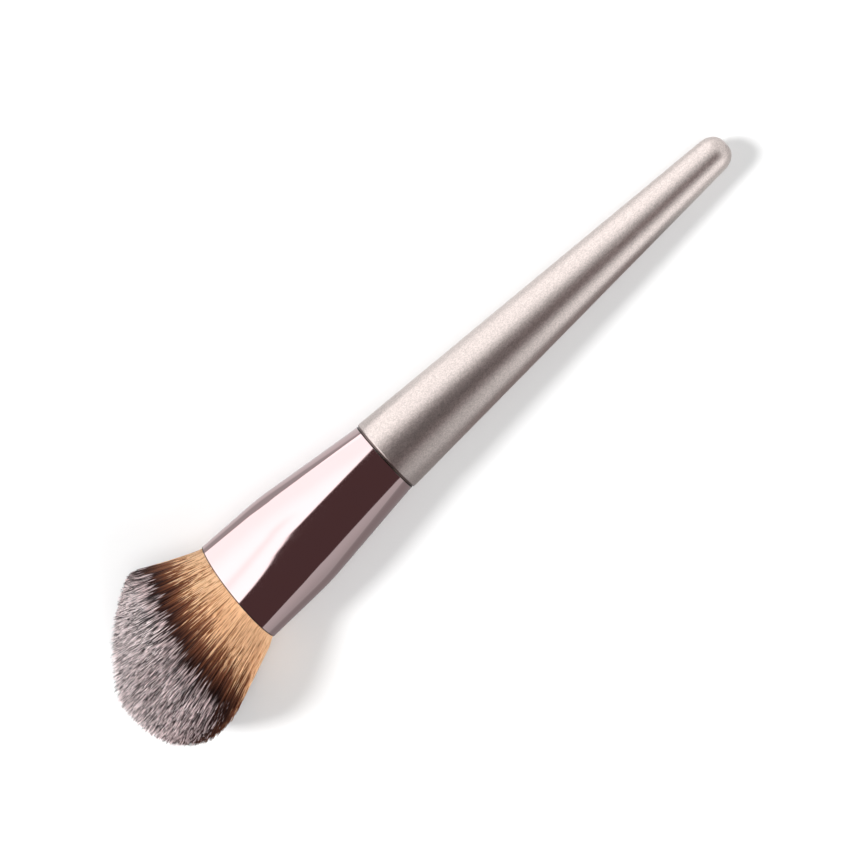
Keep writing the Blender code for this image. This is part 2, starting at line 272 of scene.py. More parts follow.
# %% [markdown]
# The camera comes first, because what it sees decides where detail is worth its cost. It looks almost
# straight down on the broad side through a long lens, with the tail at the upper right. Its right and up
# directions are mixed from the brush's own.

# %% Aim the camera
LENS, SENSOR = 85.0, 36.0
AIM_TAILWARD, AIM_TO_LONG_SIDE = 0.01125, 0.00238
LEAN_TO_HAIR = math.radians(1.57)
TAIL_ANGLE = math.radians(42.56)
DISTANCE = 0.4454


def put_in_scene(name, data):
    thing = bpy.data.objects.new(name, data)
    bpy.context.scene.collection.objects.link(thing)
    return thing


joint = TAIL_END + TO_HAIR * joint_length
aim = joint - TO_HAIR * AIM_TAILWARD - TO_SHORT_SIDE * AIM_TO_LONG_SIDE
looking = TO_HAIR * math.sin(LEAN_TO_HAIR) - UP_THROUGH * math.cos(LEAN_TO_HAIR)
tailward = (-TO_HAIR + looking * TO_HAIR.dot(looking)).normalized()
right = tailward * math.cos(TAIL_ANGLE) - TO_SHORT_SIDE * math.sin(TAIL_ANGLE)
up = tailward * math.sin(TAIL_ANGLE) + TO_SHORT_SIDE * math.cos(TAIL_ANGLE)
camera_data = bpy.data.cameras.new("portrait_camera")
camera_data.lens = LENS
camera_data.sensor_width = SENSOR
camera = put_in_scene("portrait_camera", camera_data)
camera.matrix_world = Matrix((right, up, -looking)).transposed().to_4x4()
camera.matrix_world.translation = aim - looking * DISTANCE
bpy.context.scene.camera = camera
bpy.context.scene.view_settings.view_transform = "Standard"
print("camera is", round(DISTANCE * 1000), "mm from the brush's axis")

# %% [markdown]
# Cameras and mirrors see a white studio all round, while soft light comes from a dimmer sky, so that the
# white doesn't wash the colours out. Three broad lamps add direction: a key from the hair's end and the
# short side, one overhead, and a low fill from the long side. Mirrors don't see the lamps: the polished
# ferrule shows the studio's cards instead, which come next.

# %% Light the room
SKY_LIGHT = 0.32
# Each lamp's strength, the way it shines, and how many degrees it spans.
LAMPS = {
    "key_lamp": (2.6, (0.8, -0.6, -0.95), 16),
    "top_lamp": (0.7, (0.0, 0.12, -1.0), 30),
    "fill_lamp": (1.6, (0.0, 0.8, -0.36), 60),
}


def make_sky():
    world = bpy.data.worlds.new("studio_sky")
    world.use_nodes = True
    bpy.context.scene.world = world
    sky = Board(world.node_tree)
    seen = sky.add("ShaderNodeLightPath", None, "Is Camera Ray")
    shows = largest(largest(seen, seen.beside("Is Glossy Ray")), seen.beside("Is Transmission Ray"))
    background = world.node_tree.nodes["Background"].inputs
    sky.plug(background["Color"], (1, 1, 1))
    sky.plug(background["Strength"], SKY_LIGHT + (1 - SKY_LIGHT) * shows)


def make_lamp(name, strength, towards, softness_degrees):
    """A lamp so far away that it lights everything evenly."""
    lamp = bpy.data.lights.new(name, "SUN")
    lamp.energy = strength
    lamp.angle = math.radians(softness_degrees)
    holder = put_in_scene(name, lamp)
    holder.rotation_euler = Vector(towards).to_track_quat("-Z", "Y").to_euler()
    holder.visible_glossy = False


make_sky()
for lamp_name, lamp_values in LAMPS.items():
    make_lamp(lamp_name, *lamp_values)
print("lamps:", ", ".join(LAMPS))

# %% [markdown]
# The floor has to look pure white and still carry the brush's shadow. The lamps take its nearly white colour
# just past white, and a shadow takes it a little below. From underneath it lets the view through.

# %% Lay the floor
FLOOR_COLOUR = (0.9, 0.9, 0.9)
FLOOR_HALF = 2.5


def make_mesh(name, points, faces=()):
    mesh = bpy.data.meshes.new(name)
    mesh.from_pydata(points, [], faces)
    return mesh


def flat_sheet(name, half):
    """A square sheet on the table's plane, which faces up."""
    corners = [(-half, -half, 0), (half, -half, 0), (half, half, 0), (-half, half, 0)]
    return put_in_scene(name, make_mesh(name, corners, [(0, 1, 2, 3)]))


def make_floor():
    floor = flat_sheet("studio_floor", FLOOR_HALF)
    finish = Finish("studio_floor", FLOOR_COLOUR, 1.0)
    matt = finish.add("ShaderNodeBsdfDiffuse", {"Color": FLOOR_COLOUR})
    clear = finish.add("ShaderNodeBsdfTransparent")
    under = finish.add("ShaderNodeNewGeometry", None, "Backfacing")
    finish.show_instead(finish.add("ShaderNodeMixShader", {0: under, 1: matt, 2: clear}))
    floor.data.materials.append(finish.material)


make_floor()
print("floor laid, mm across:", FLOOR_HALF * 2000)

# %% [markdown]
# A mirror shows what stands round it: here a bright softbox on the short side, a dark strip overhead with a
# hard edge, and a dimmer card on the long side. A curved tent over the brush, which only glossy rays see,
# carries them as light painted by the angle round the brush and the place along it. A mat on the floor does
# the same for the metal's lower edges. The satin handle blurs the tent into its two soft highlights.

# %% Make a card that only mirrors see
SHADE_TINT, SHADE_TINT_LEVELS = (1.0, 0.56, 0.57), (0.1, 0.4)


def start_card(name):
    """A finish for a card that only shines. Gives back the finish and the coordinates to paint it by."""
    finish = Finish(name, (1, 1, 1), 1.0)
    return finish, *parts(finish.place())


def show_to_mirrors(card, finish, light):
    """Makes a card shine by a painted level. The dark parts of the studio are a little red."""
    tint = finish.mix(ease(light, *SHADE_TINT_LEVELS), SHADE_TINT, (1.0, 1.0, 1.0))
    finish.show_instead(finish.add("ShaderNodeEmission", {"Color": tint, "Strength": light}))
    card.data.materials.append(finish.material)
    for rays in ("camera", "diffuse", "transmission", "shadow"):
        setattr(card, "visible_" + rays, False)


# %% Plan the light beside the metal
# Angles on the tent are in degrees from its top, positive on the short side. Places along it are in
# millimetres from the ferrule's mouth, positive towards the hair.
METAL_SPAN = (-50.0, 34.0)
SOFTBOX_LIGHT, SOFTBOX_FALL, FALL_ANGLES = 2.0, 0.25, (20.0, 60.0)
START_ANGLE, START_SLOPE, START_BEND = 10.6, -0.58, 0.0094
START_STEP, START_STEP_SPAN = 2.5, (9.4, 13.5)
START_TURN, START_TURN_PLACE = 0.28, 14.0
END_ANGLE, END_TAIL_TURN, END_HAIR_TURN = 83.6, 0.61, 0.34
END_TAIL_PLACE, END_HAIR_PLACE = 14.0, -6.0
STREAK_DARKNESS, STREAK_ANGLE, STREAK_WIDTH, STREAK_SPAN = 0.3, 14.0, 4.5, (-2.0, 10.0)
NEAR_CARD_LIGHT, SHADE_LIGHT = 0.42, 0.1
FLAG_ANGLE, FLAG_BEND, FLAG_TURN, FLAG_TURN_PLACE = 50.8, 0.0058, 0.3, 4.0
FAR_CARD_FADE = (0.56, 0.42, 0.0, 40.0)
CARD_EDGE, BOX_END_EDGE = (-0.7, 0.7), (-0.6, 0.6)


def light_by_metal(angle, reach):
    """The softbox, the near card below it, the dark strip overhead and the far card."""
    place = smallest(largest(reach, METAL_SPAN[0]), METAL_SPAN[1])
    start = START_ANGLE + START_SLOPE * place + START_BEND * place * place
    start = start - START_STEP * ease(place, *START_STEP_SPAN) - START_TURN * beyond(place, START_TURN_PLACE)
    end = END_ANGLE + END_TAIL_TURN * beyond(-place, END_TAIL_PLACE)
    end = end + END_HAIR_TURN * beyond(place, END_HAIR_PLACE)
    streak = (angle - start - STREAK_ANGLE) / STREAK_WIDTH
    streak = STREAK_DARKNESS * math.e ** (-streak * streak) * ease(place, *STREAK_SPAN)
    pane = SOFTBOX_LIGHT - SOFTBOX_FALL * ease(angle, *FALL_ANGLES) - streak
    softbox = pane * ease(angle - start, *CARD_EDGE) * ease(end - angle, *BOX_END_EDGE)
    near_card = NEAR_CARD_LIGHT * ease(angle - end, *BOX_END_EDGE)
    flag_end = FLAG_ANGLE + FLAG_BEND * place * place + FLAG_TURN * beyond(abs(place), FLAG_TURN_PLACE)
    past_flag = -angle - flag_end
    far_card = fade(past_flag, *FAR_CARD_FADE) * ease(past_flag, *CARD_EDGE)
    return SHADE_LIGHT + softbox + near_card + far_card


# %% Plan the light beside the wood
TAILWARD_SPAN = (50.0, 165.0)
GLOW_LIGHT, GLOW_ANGLES, GLOW_BLURS = 1.55, (31.0, 18.0), (19.0, 34.0)
SECOND_FADE, SECOND_ANGLE, SECOND_BLUR = (0.55, 1.45, 55.0, 165.0), 47.0, (-20.0, 20.0)
DIM_LIGHTS = (0.0, 0.17)
TAIL_LIGHT, TAIL_SPAN = 1.05, (195.0, 290.0)
WOOD_START, WOOD_START_BEND, WOOD_START_BLUR = 38.0, 0.0015, 5.0


def light_by_wood(angle, reach):
    """A broad glow on the short side and a second one on the long side, wider and brighter tailwards."""
    tailwards = ease(-reach, *TAILWARD_SPAN)
    blur = between(*GLOW_BLURS, tailwards)
    glow = GLOW_LIGHT * ease(angle - between(*GLOW_ANGLES, tailwards), -blur, blur)
    second = fade(-reach, *SECOND_FADE) * ease(-angle - SECOND_ANGLE, *SECOND_BLUR)
    light = between(*DIM_LIGHTS, tailwards) + glow + second
    return between(light, TAIL_LIGHT, ease(-reach, *TAIL_SPAN))


# %% Hang the tent of cards
TENT_RADIUS, TENT_SPAN = 0.16, (-0.36, 0.26)
TENT_HALF_ANGLE, TENT_STEPS = math.radians(93), 48


def make_tent_mesh():
    points = []
    for step in range(TENT_STEPS + 1):
        angle = TENT_HALF_ANGLE * (2 * step / TENT_STEPS - 1)
        points += [(TENT_RADIUS * math.cos(angle), TENT_RADIUS * math.sin(angle), z) for z in TENT_SPAN]
    starts = range(0, 2 * TENT_STEPS, 2)
    return make_mesh("card_tent", points, [(first, first + 1, first + 3, first + 2) for first in starts])


def hang_tent():
    tent = put_in_scene("card_tent", make_tent_mesh())
    tent.matrix_world = LAY_DOWN
    finish, thin, wide, along = start_card("card_tent")
    angle = finish.do("ARCTAN2", wide, thin) * math.degrees(1)
    reach = along * 1000.0
    by_handle = ease(-reach - (WOOD_START + WOOD_START_BEND * angle * angle), 0.0, WOOD_START_BLUR)
    light = between(light_by_metal(angle, reach), light_by_wood(angle, reach), by_handle)
    show_to_mirrors(tent, finish, light)


hang_tent()
print("tent hung, mm from the brush:", TENT_RADIUS * 1000)

# %% Lay the mat
MAT_HALF, MAT_LIFT = 1.2, 0.00004
# Where X passes from the metal to the wood, then levels: from, to, and the places that they change between.
MAT_WOOD_SPAN = (-0.003, 0.010)
NEAR_FADE, NEAR_WOOD_FADE = (0.82, 0.5, 0.028, 0.042), (0.95, 1.6, 0.01, 0.06)
FAR_FADE, FAR_WOOD_FADE = (0.33, 0.5, 0.03, 0.2), (0.27, 0.7, 0.06, 0.088)
FAR_WOOD_LIGHT, FAR_WOOD_SPAN = 1.1, (0.02, 0.13)
DIM_REACH, DIM_EDGE = 0.040, (-0.002, 0.002)
DIM_FLARE, DIM_FLARE_PLACE, DIM_FLARE_LENGTH = 0.009, -0.008, 0.007


def lay_mat():
    """A sheet on the floor. Beside the ferrule it is dim, so that the metal gets darker edges."""
    finish, x, y, _ = start_card("edge_mat")
    by_handle = ease(x, *MAT_WOOD_SPAN)
    dim_reach = DIM_REACH + DIM_FLARE * math.e ** ((DIM_FLARE_PLACE - x) / DIM_FLARE_LENGTH)
    near = between(fade(y, *NEAR_FADE), SOFTBOX_LIGHT, ease(y - dim_reach, *DIM_EDGE))
    near = between(near, fade(y, *NEAR_WOOD_FADE), by_handle)
    beside_wood = between(fade(x, *FAR_WOOD_FADE), FAR_WOOD_LIGHT, ease(-y, *FAR_WOOD_SPAN))
    far = between(fade(-y, *FAR_FADE), beside_wood, by_handle)
    mat = flat_sheet("edge_mat", MAT_HALF)
    mat.data.transform(Matrix.Translation((0, 0, MAT_LIFT)))
    show_to_mirrors(mat, finish, between(far, near, y > 0.0))


lay_mat()
print("mat laid, mm over the floor:", MAT_LIFT * 1000)

# %% [markdown]
# A piece is a mesh written out in code or a shape grown by Geometry Nodes. Either is laid down to its place
# with its object at the origin, and handed to the frame with its body and the solids it replaces.

# %% Helpers that finish a piece
MOUTH_SLANT, MOUTH_BOW = 0.066, 4.1


def rim_drop(y):
    """How far the ferrule's rim lies below the mouth's middle. Pressing a tube oval bows its cut end."""
    return MOUTH_SLANT * y + MOUTH_BOW * y * y


def lay_down(name, mesh):
    """An upright mesh as a piece in its place, with its object at the origin."""
    mesh.name = name
    mesh.transform(LAY_DOWN)
    return put_in_scene(name, mesh)


def hand_over(piece, slot, *stands_for):
    """Gives a piece that already lies in place to the frame."""
    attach(piece, "root")
    if stands_for:
        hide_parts(*stands_for)
    print(piece.name, "has", len(piece.data.polygons), "faces")


# %% A helper that grows a piece


class Grower(Board):
    """A Geometry Nodes tree with named inputs, which grows a piece from drawn points or from nothing."""

    def __init__(self, name):
        super().__init__(bpy.data.node_groups.new(name, "GeometryNodeTree"))
        self.keys = {}
        self.sizes = {}
        for way in ("OUTPUT", "INPUT"):
            self.tree.interface.new_socket("Geometry", in_out=way, socket_type="NodeSocketGeometry")
        self.drawn = self.add("NodeGroupInput", None, "Geometry")
        self.source = self.drawn.socket.node

    def inlets(self, **sizes):
        """Gives the tree named inputs, whole where their value is, and itself a Signal by each name."""
        for key, value in sizes.items():
            name = key.replace("_", " ").capitalize()
            kind = "NodeSocketInt" if isinstance(value, int) else "NodeSocketFloat"
            socket = self.tree.interface.new_socket(name, in_out="INPUT", socket_type=kind)
            self.keys[key] = socket.identifier
            self.sizes[key] = value
            setattr(self, key, Signal(self, self.find(self.source.outputs, name)))

    def end(self, geometry, material):
        """Smooths the result, makes it real geometry, which an export needs, and gives it its finish."""
        smooth = self.add("GeometryNodeSetShadeSmooth", {"Geometry": geometry})
        real = self.add("GeometryNodeRealizeInstances", {"Geometry": smooth})
        dressed = self.add("GeometryNodeSetMaterial", {"Geometry": real, "Material": material})
        self.add("NodeGroupOutput", {0: dressed})

    def grow(self, name, drawn=(), **changes):
        """Runs the tree once on drawn points and keeps its result as a plain mesh, laid down in place."""
        seed = put_in_scene(name + "_seed", make_mesh(name + "_seed", drawn))
        modifier = seed.modifiers.new(self.tree.name, "NODES")
        modifier.node_group = self.tree
        for key, value in {**self.sizes, **changes}.items():
            modifier[self.keys[key]] = value
        graph = bpy.context.evaluated_depsgraph_get()
        mesh = bpy.data.meshes.new_from_object(seed.evaluated_get(graph), depsgraph=graph)
        seed.modifiers.remove(modifier)
        bpy.data.objects.remove(seed)
        return lay_down(name, mesh)

    def set_position(self, geometry, position):
        return self.add("GeometryNodeSetPosition", {"Geometry": geometry, "Position": position})

    def store_map(self, geometry, place):
        """Writes the flat map named OFBake on the corners of the faces."""
        values = {"Geometry": geometry, "Name": "OFBake", "Value": place}
        return self.add("GeometryNodeStoreNamedAttribute", values, data_type="FLOAT2", domain="CORNER")

    def line(self, count):
        line = self.add("GeometryNodeCurvePrimitiveLine")
        return self.add("GeometryNodeResampleCurve", {"Curve": line, "Count": count})

    def keep(self, geometry, kind, value):
        """Remembers a value on the geometry as it is here, for use after the shape has changed."""
        geometry = self.add("GeometryNodeCaptureAttribute", {"Geometry": geometry}, "Geometry")
        node = geometry.socket.node
        node.capture_items.new(kind, "kept")
        self.plug(node.inputs[1], value)
        return Signal(self, node.outputs["Geometry"]), Signal(self, node.outputs[1])

    def oval(self, angle, squareness):
        """The place at an angle on an oval with half widths of 1, which is round at a squareness of 2."""
        x, y = self.do("COSINE", angle), self.do("SINE", angle)
        scale = (abs(x) ** squareness + abs(y) ** squareness) ** (-1.0 / squareness)
        return x * scale, y * scale


print("a Grower is ready for the pieces that repeat or follow a rule")

# %% [markdown]
# The handle is turned wood with a metallic base and a satin clear coat. The metal is fine flake, so the
# finish is a rough metal whose surface is slightly uneven from flake to flake, which is the sparkle at the
# edges of the highlights. Flakes are a fifth of a millimetre, so noise makes them. At the joint a fine line
# is painted darker: painted shade for the shadow in the joint, which also hides the shoulder's bright
# reflection.

# %% Mix the lacquer and leave the tenon bare
LACQUER_COLOUR = (0.59, 0.52, 0.495)
FLAKES_PER_METRE = 4600
DULLEST, CLUMP_LIGHT, FLAKE_LIGHT = 0.82, 0.06, 0.32
PAINTED_JOINT_SHADE, PAINTED_JOINT_SHADE_EDGE = (0.17, 0.125, 0.12), (0.00054, 0.00042)
PALE_WOOD, DARK_WOOD, WOOD_GRAIN = (0.72, 0.52, 0.32), (0.45, 0.29, 0.16), (90, 1500, 1500)
LACQUER_BUMP, WOOD_BUMP = 0.000024, 0.00005


def mix_lacquer():
    finish = Finish("satin_champagne_lacquer", LACQUER_COLOUR, 0.33, 0.96)
    place = finish.place()
    flake = parts(finish.cells(place, FLAKES_PER_METRE, "Color"))[0]
    clumps = ease(finish.noise(place, FLAKES_PER_METRE * 0.5, 2, 0.7), 0.3, 0.7)
    sparkle = DULLEST + CLUMP_LIGHT * clumps + FLAKE_LIGHT * flake
    tint = finish.shaded(LACQUER_COLOUR, sparkle, sparkle, sparkle)
    # Painted shade: a fine dark line on the lacquer just below the joint.
    below_joint = -finish.from_mouth(place, TO_HAIR) - FERRULE_LENGTH
    tint = finish.mix(ease(below_joint, *PAINTED_JOINT_SHADE_EDGE), tint, PAINTED_JOINT_SHADE)
    relief = finish.noise(place, FLAKES_PER_METRE * 0.6, 3, 0.65)
    return finish.coat(tint, 0.29 + 0.06 * flake + 0.04 * clumps, relief, LACQUER_BUMP, 0.9)


def leave_wood_bare():
    finish = Finish("bare_birch", (0.62, 0.43, 0.25), 0.6)
    grain = finish.grain(finish.place(), WOOD_GRAIN, 4)
    return finish.coat(finish.mix(grain, DARK_WOOD, PALE_WOOD), 0.6, grain, WOOD_BUMP, 0.5)


LACQUER = mix_lacquer()
BARE_WOOD = leave_wood_bare()
print("flakes are about", round(1000 / FLAKES_PER_METRE, 2), "mm apart")

# %% [markdown]
# A turned piece is one profile swept round an axis. It goes from the tenon's hidden end over two glue grooves
# and the collar in the joint to the shoulder, and down the long cone to the domed tail, as (radius, height)
# points. The skin between its turns is written in code, so that each face gets its place on a flat map.

# %% Draw the handle's profile
SEAT_GAP, JOINT_RADIUS, BELLY_RADIUS = 0.0003, 0.00887, 0.0091
SHOULDER_ROUNDING, SHOULDER_DROP, SHOULDER_POINTS = 0.00014, 0.0005, 8
COLLAR_RADIUS, COLLAR_GAP = 0.0088, 0.00006
TAIL_RADIUS, TAIL_DOME, TAIL_FLAT, DOME_POINTS = 0.0041, 0.0041, 0.0012, 14
TENON_END_RADIUS, TENON_ROOT_RADIUS, TENON_CHAMFER = 0.00757, 0.00817, 0.0007
GROOVE_DEPTH, GROOVE_WIDTH, GROOVE_SHARES = 0.001, 0.0022, (0.3, 0.68)
LACQUER_OVERRUN, CONE_ROWS = 0.0015, 30
TENON_TOP = tenon_length - mouth_length
SHOULDER = -FERRULE_LENGTH - SEAT_GAP
TAIL = -mouth_length


def quarter_round(centre, radii, start, points):
    """Points of a quarter of an ellipse, clockwise from an angle, as (radius, height)."""
    (x, y), (wide, tall) = centre, radii
    angles = [start - math.pi / 2 * step / points for step in range(points + 1)]
    return [(x + wide * math.cos(angle), y + tall * math.sin(angle)) for angle in angles]


def tenon_radius(height):
    """The peg is slightly tapered, as the ferrule's bore is."""
    return between(TENON_END_RADIUS, TENON_ROOT_RADIUS, (TENON_TOP - height) / (TENON_TOP - SHOULDER))


def draw_tenon():
    """The peg, from its end down to the shoulder, with its chamfer and its two glue grooves."""
    chamfered = TENON_TOP - TENON_CHAMFER
    profile = [(0.0, TENON_TOP), (tenon_radius(chamfered) - TENON_CHAMFER, TENON_TOP)]
    profile.append((tenon_radius(chamfered), chamfered))
    for share in GROOVE_SHARES:
        middle = TENON_TOP - (TENON_TOP + FERRULE_LENGTH) * share
        for side, depth in ((1, 0), (1, GROOVE_DEPTH), (-1, GROOVE_DEPTH), (-1, 0)):
            at = middle + side * GROOVE_WIDTH / 2
            profile.append((tenon_radius(at) - depth, at))
    collar = -FERRULE_LENGTH - COLLAR_GAP
    profile += [(tenon_radius(height), height) for height in (SHOULDER + LACQUER_OVERRUN, collar)]
    return profile + [(COLLAR_RADIUS, collar), (COLLAR_RADIUS, SHOULDER)]


def draw_handle():
    """What shows: the rounded shoulder, the straight cone and the domed tail with its small flat."""
    top, bottom = SHOULDER - SHOULDER_DROP, TAIL + TAIL_DOME
    rounding = (SHOULDER_ROUNDING, SHOULDER_DROP)
    profile = quarter_round((BELLY_RADIUS - SHOULDER_ROUNDING, top), rounding, math.pi / 2, SHOULDER_POINTS)
    for share in (row / CONE_ROWS for row in range(1, CONE_ROWS)):
        profile.append((between(BELLY_RADIUS, TAIL_RADIUS, share), between(top, bottom, share)))
    profile += quarter_round((TAIL_FLAT, bottom), (TAIL_RADIUS - TAIL_FLAT, TAIL_DOME), 0.0, DOME_POINTS)
    return profile + [(0.0, TAIL)]


tenon_points, handle_points = draw_tenon(), draw_handle()
print("profile points:", len(tenon_points), "in the tenon,", len(handle_points), "that show")

# %% Turn it round the axis
TURNED_FACETS = 160
SHARP_ANGLE = math.radians(35)


def skin(rows, facets):
    """Quads between rows of points, and a fan where a row is one point, with a flat map of them all."""
    points = [point for row in rows for point in row]
    faces, places = [], []
    upper = 0
    for step in range(len(rows) - 1):
        lower = upper + len(rows[step])
        high, low = 1 - step / (len(rows) - 1), 1 - (step + 1) / (len(rows) - 1)
        for i in range(facets):
            j = (i + 1) % facets
            left, middle, right = i / facets, (i + 0.5) / facets, (i + 1) / facets
            if len(rows[step]) == 1:
                faces.append((upper, lower + i, lower + j))
                places.append((middle, high, left, low, right, low))
            elif len(rows[step + 1]) == 1:
                faces.append((upper + j, upper + i, lower))
                places.append((right, high, left, high, middle, low))
            else:
                faces.append((upper + j, upper + i, lower + i, lower + j))
                places.append((right, high, left, high, left, low, right, low))
        upper = lower
    return points, faces, places


def turn(name, profile, facets):
    """A mesh turned round Z from (radius, height) points, listed from its top down its outer side."""
    rows = []
    for radius, height in profile:
        angles = [2 * math.pi * facet / facets for facet in range(facets if radius > 0 else 1)]
        rows.append([(radius * math.cos(angle), radius * math.sin(angle), height) for angle in angles])
    points, faces, places = skin(rows, facets)
    mesh = make_mesh(name, points, faces)
    flat_map = mesh.uv_layers.new(name="OFBake")
    flat_map.uv.foreach_set("vector", [value for place in places for value in place])
    mesh.shade_smooth()
    mesh.set_sharp_from_angle(angle=SHARP_ANGLE)
    return mesh


def make_handle():
    mesh = turn("turned_handle", tenon_points + handle_points[1:], TURNED_FACETS)
    mesh.materials.append(LACQUER)
    mesh.materials.append(BARE_WOOD)
    for face in mesh.polygons:
        face.material_index = int(face.center.z > SHOULDER + LACQUER_OVERRUN / 2)
    hand_over(lay_down("turned_handle", mesh), "lacquered_wood", "handle")


make_handle()

# %% [markdown]
# The ferrule is thin aluminium, polished and anodised a pinkish grey, and close to a mirror. What keeps it
# from looking like glass are small things: a haze that varies from place to place, hair-fine drawing lines
# along the tube, and a dark line at both cut ends. That line is painted shade: at the mouth it stands in for
# the shadow between metal and hair, and at the joint it hides a bright reflection.

# %% Polish the metal
METAL_COLOUR, HAZY_COLOUR = (0.62, 0.46, 0.46), (0.6, 0.47, 0.48)
RIM_SHADE_COLOUR, RIM_SHADE_DEPTHS = (0.05, 0.045, 0.04), (0.000286, 0.000154)
HAZE_PER_METRE, DRAWN_LINES = 220, (60, 5200, 5200)
METAL_BUMP = 0.0000004


def polish_metal():
    finish = Finish("polished_rose_aluminium", METAL_COLOUR, 0.04, 1.0)
    place = finish.place()
    drawn = finish.grain(place, DRAWN_LINES, 2)
    haze = finish.noise(place, HAZE_PER_METRE, 3)
    depth = -finish.from_mouth(place, TO_HAIR)
    below_rim = depth - rim_drop(finish.from_mouth(place, TO_SHORT_SIDE))
    # Painted shade: both cut ends get a dark line, for the shadow at the mouth and against a bright reflection
    # at the joint.
    edge = ease(smallest(below_rim, FERRULE_LENGTH - depth), *RIM_SHADE_DEPTHS)
    tint = finish.mix(haze, METAL_COLOUR, HAZY_COLOUR)
    tint = finish.mix(edge, tint, RIM_SHADE_COLOUR)
    return finish.coat(tint, 0.025 + 0.02 * haze + 0.02 * drawn + 0.3 * edge, drawn, METAL_BUMP, 0.5)


METAL = polish_metal()
print("painted rim shade, mm:", round(RIM_SHADE_DEPTHS[0] * 1000, 2))

# %% [markdown]
# The real ferrule starts as a round tube. A press squeezes its upper end oval, leaves a soft crease where the
# pressed length begins, and bows the cut end, so that the rim dips at the oval's two narrow sides. Geometry
# Nodes make it as the press does: the wall's thin section is drawn in code, the tree sweeps it round, and
# gives every point its oval by its depth. All the sizes are inputs with names.

# %% Draw the wall's section
FERRULE_WALL, RIM_ROUNDING, ROUNDING_POINTS = 0.0004, 0.00012, 4
OUTER_ROWS, INNER_ROWS, END_ROW_SHARE = 56, 20, 0.003


def draw_wall_section():
    """The wall cut lengthwise: a closed strip with rounded ends, as (inset, 0, minus depth) points."""
    insets = (RIM_ROUNDING, FERRULE_WALL - RIM_ROUNDING)
    depths = (RIM_ROUNDING, FERRULE_LENGTH - RIM_ROUNDING)
    points = []
    for corner, (inset, depth) in enumerate(((0, 0), (1, 0), (1, 1), (0, 1))):
        for step in range(ROUNDING_POINTS):
            angle = math.radians(180 - 90 * (corner + step / (ROUNDING_POINTS - 1)))
            points.append((insets[inset] + RIM_ROUNDING * math.cos(angle),
                           depths[depth] - RIM_ROUNDING * math.sin(angle)))
    runs = {2 * ROUNDING_POINTS: INNER_ROWS, 4 * ROUNDING_POINTS: OUTER_ROWS}
    section = []
    for number, point in enumerate(points, start=1):
        rows = runs.get(number, 1)
        shares = [0, END_ROW_SHARE, *(row / rows for row in range(2, rows - 1)), 1 - END_ROW_SHARE]
        for share in shares if rows > 1 else [0]:
            section.append(tuple(between(*ends, share) for ends in zip(point, points[number % len(points)])))
    return [(inset, 0, -depth) for inset, depth in section]


WALL_SECTION = draw_wall_section()
print("the wall's section has", len(WALL_SECTION), "points")

# %% Press the tube with Geometry Nodes
PRESSED_SQUARENESS = 2.35
WELD_DISTANCE = 0.000001


def plan_ferrule():
    press = Grower("press_a_tube_oval")
    press.inlets(
        length=FERRULE_LENGTH, facets=168, crease_depth=0.0173, crease_reach=0.0035, bowed_length=0.012,
        mouth_half_thickness=0.0072, mouth_half_width=0.0126,
        crease_half_thickness=0.0077, crease_half_width=0.0122, joint_radius=JOINT_RADIUS,
        pressed_squareness=PRESSED_SQUARENESS, round_squareness=2.0)

    rows = press.add("GeometryNodeAttributeDomainSize", {"Geometry": press.drawn})
    sheet = press.add("GeometryNodeMeshGrid", {
        "Size X": 1.0, "Size Y": 1.0, "Vertices X": rows + 1, "Vertices Y": press.facets + 1})
    place = press.add("GeometryNodeInputPosition")
    across, around, _ = parts(place)
    share = around + 0.5
    sheet = press.store_map(sheet, press.vector(share, across + 0.5))
    index = press.do("ROUND", (across + 0.5) * rows) % rows
    drawn = press.add("GeometryNodeSampleIndex", {"Geometry": press.drawn, "Value": place, "Index": index},
                      data_type="FLOAT_VECTOR")
    inset, _, height = parts(drawn)

    past = -height - press.crease_depth
    bent = smallest(beyond(past, -press.crease_reach), 2.0 * press.crease_reach)
    after = bent * bent / (4.0 * press.crease_reach) + beyond(past, press.crease_reach)

    def size_at(mouth, crease, joint):
        """A size at this depth, which changes evenly to the crease and from there on, and softly at it."""
        upper_slope = (crease - mouth) / press.crease_depth
        lower_slope = (joint - crease) / (press.length - press.crease_depth)
        return crease + upper_slope * past + (lower_slope - upper_slope) * after

    thin = size_at(press.mouth_half_thickness, press.crease_half_thickness, press.joint_radius) - inset
    wide = size_at(press.mouth_half_width, press.crease_half_width, press.joint_radius) - inset
    squareness = size_at(press.pressed_squareness, press.pressed_squareness, press.round_squareness)
    oval_x, oval_y = press.oval(share * (2 * math.pi), squareness)
    x, y = thin * oval_x, wide * oval_y
    near_mouth = largest(1.0 + height / press.bowed_length, 0.0)
    tube = press.set_position(sheet, press.vector(x, y, height - rim_drop(y) * near_mouth * near_mouth))
    tube = press.add("GeometryNodeMergeByDistance", {"Geometry": tube, "Distance": WELD_DISTANCE})
    tube = press.add("GeometryNodeFlipFaces", {"Mesh": tube})
    press.end(tube, METAL)
    return press


hand_over(plan_ferrule().grow("pressed_ferrule", WALL_SECTION), "polished_aluminium", "ferrule")

# %% [markdown]
# Four pieces sit inside the ferrule. Hard glue fills the tenon's two grooves, and amber epoxy holds the hair
# roots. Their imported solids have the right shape, so they stay and only get a finish: glue with trapped
# bubbles, and resin with the fine grain of the hairs in it, which shows as dots at the block's ends.

# %% Finish the glue and the resin
GLUE_COLOUR, CLEAR_GLUE, MILKY_GLUE = (0.75, 0.70, 0.55), (0.68, 0.6, 0.43), (0.82, 0.78, 0.66)
BUBBLE_COLOUR, BUBBLES_PER_METRE, BUBBLE_BUMP = (0.9, 0.88, 0.8), 2600, 0.00003
RESIN_COLOUR, DARK_RESIN, PALE_RESIN = (0.55, 0.42, 0.2), (0.46, 0.26, 0.08), (0.66, 0.45, 0.19)
SET_HAIR_COLOUR, SET_HAIR_GRAIN, SET_HAIR_BUMP = (0.8, 0.52, 0.3), (240, 5200, 5200), 0.00002


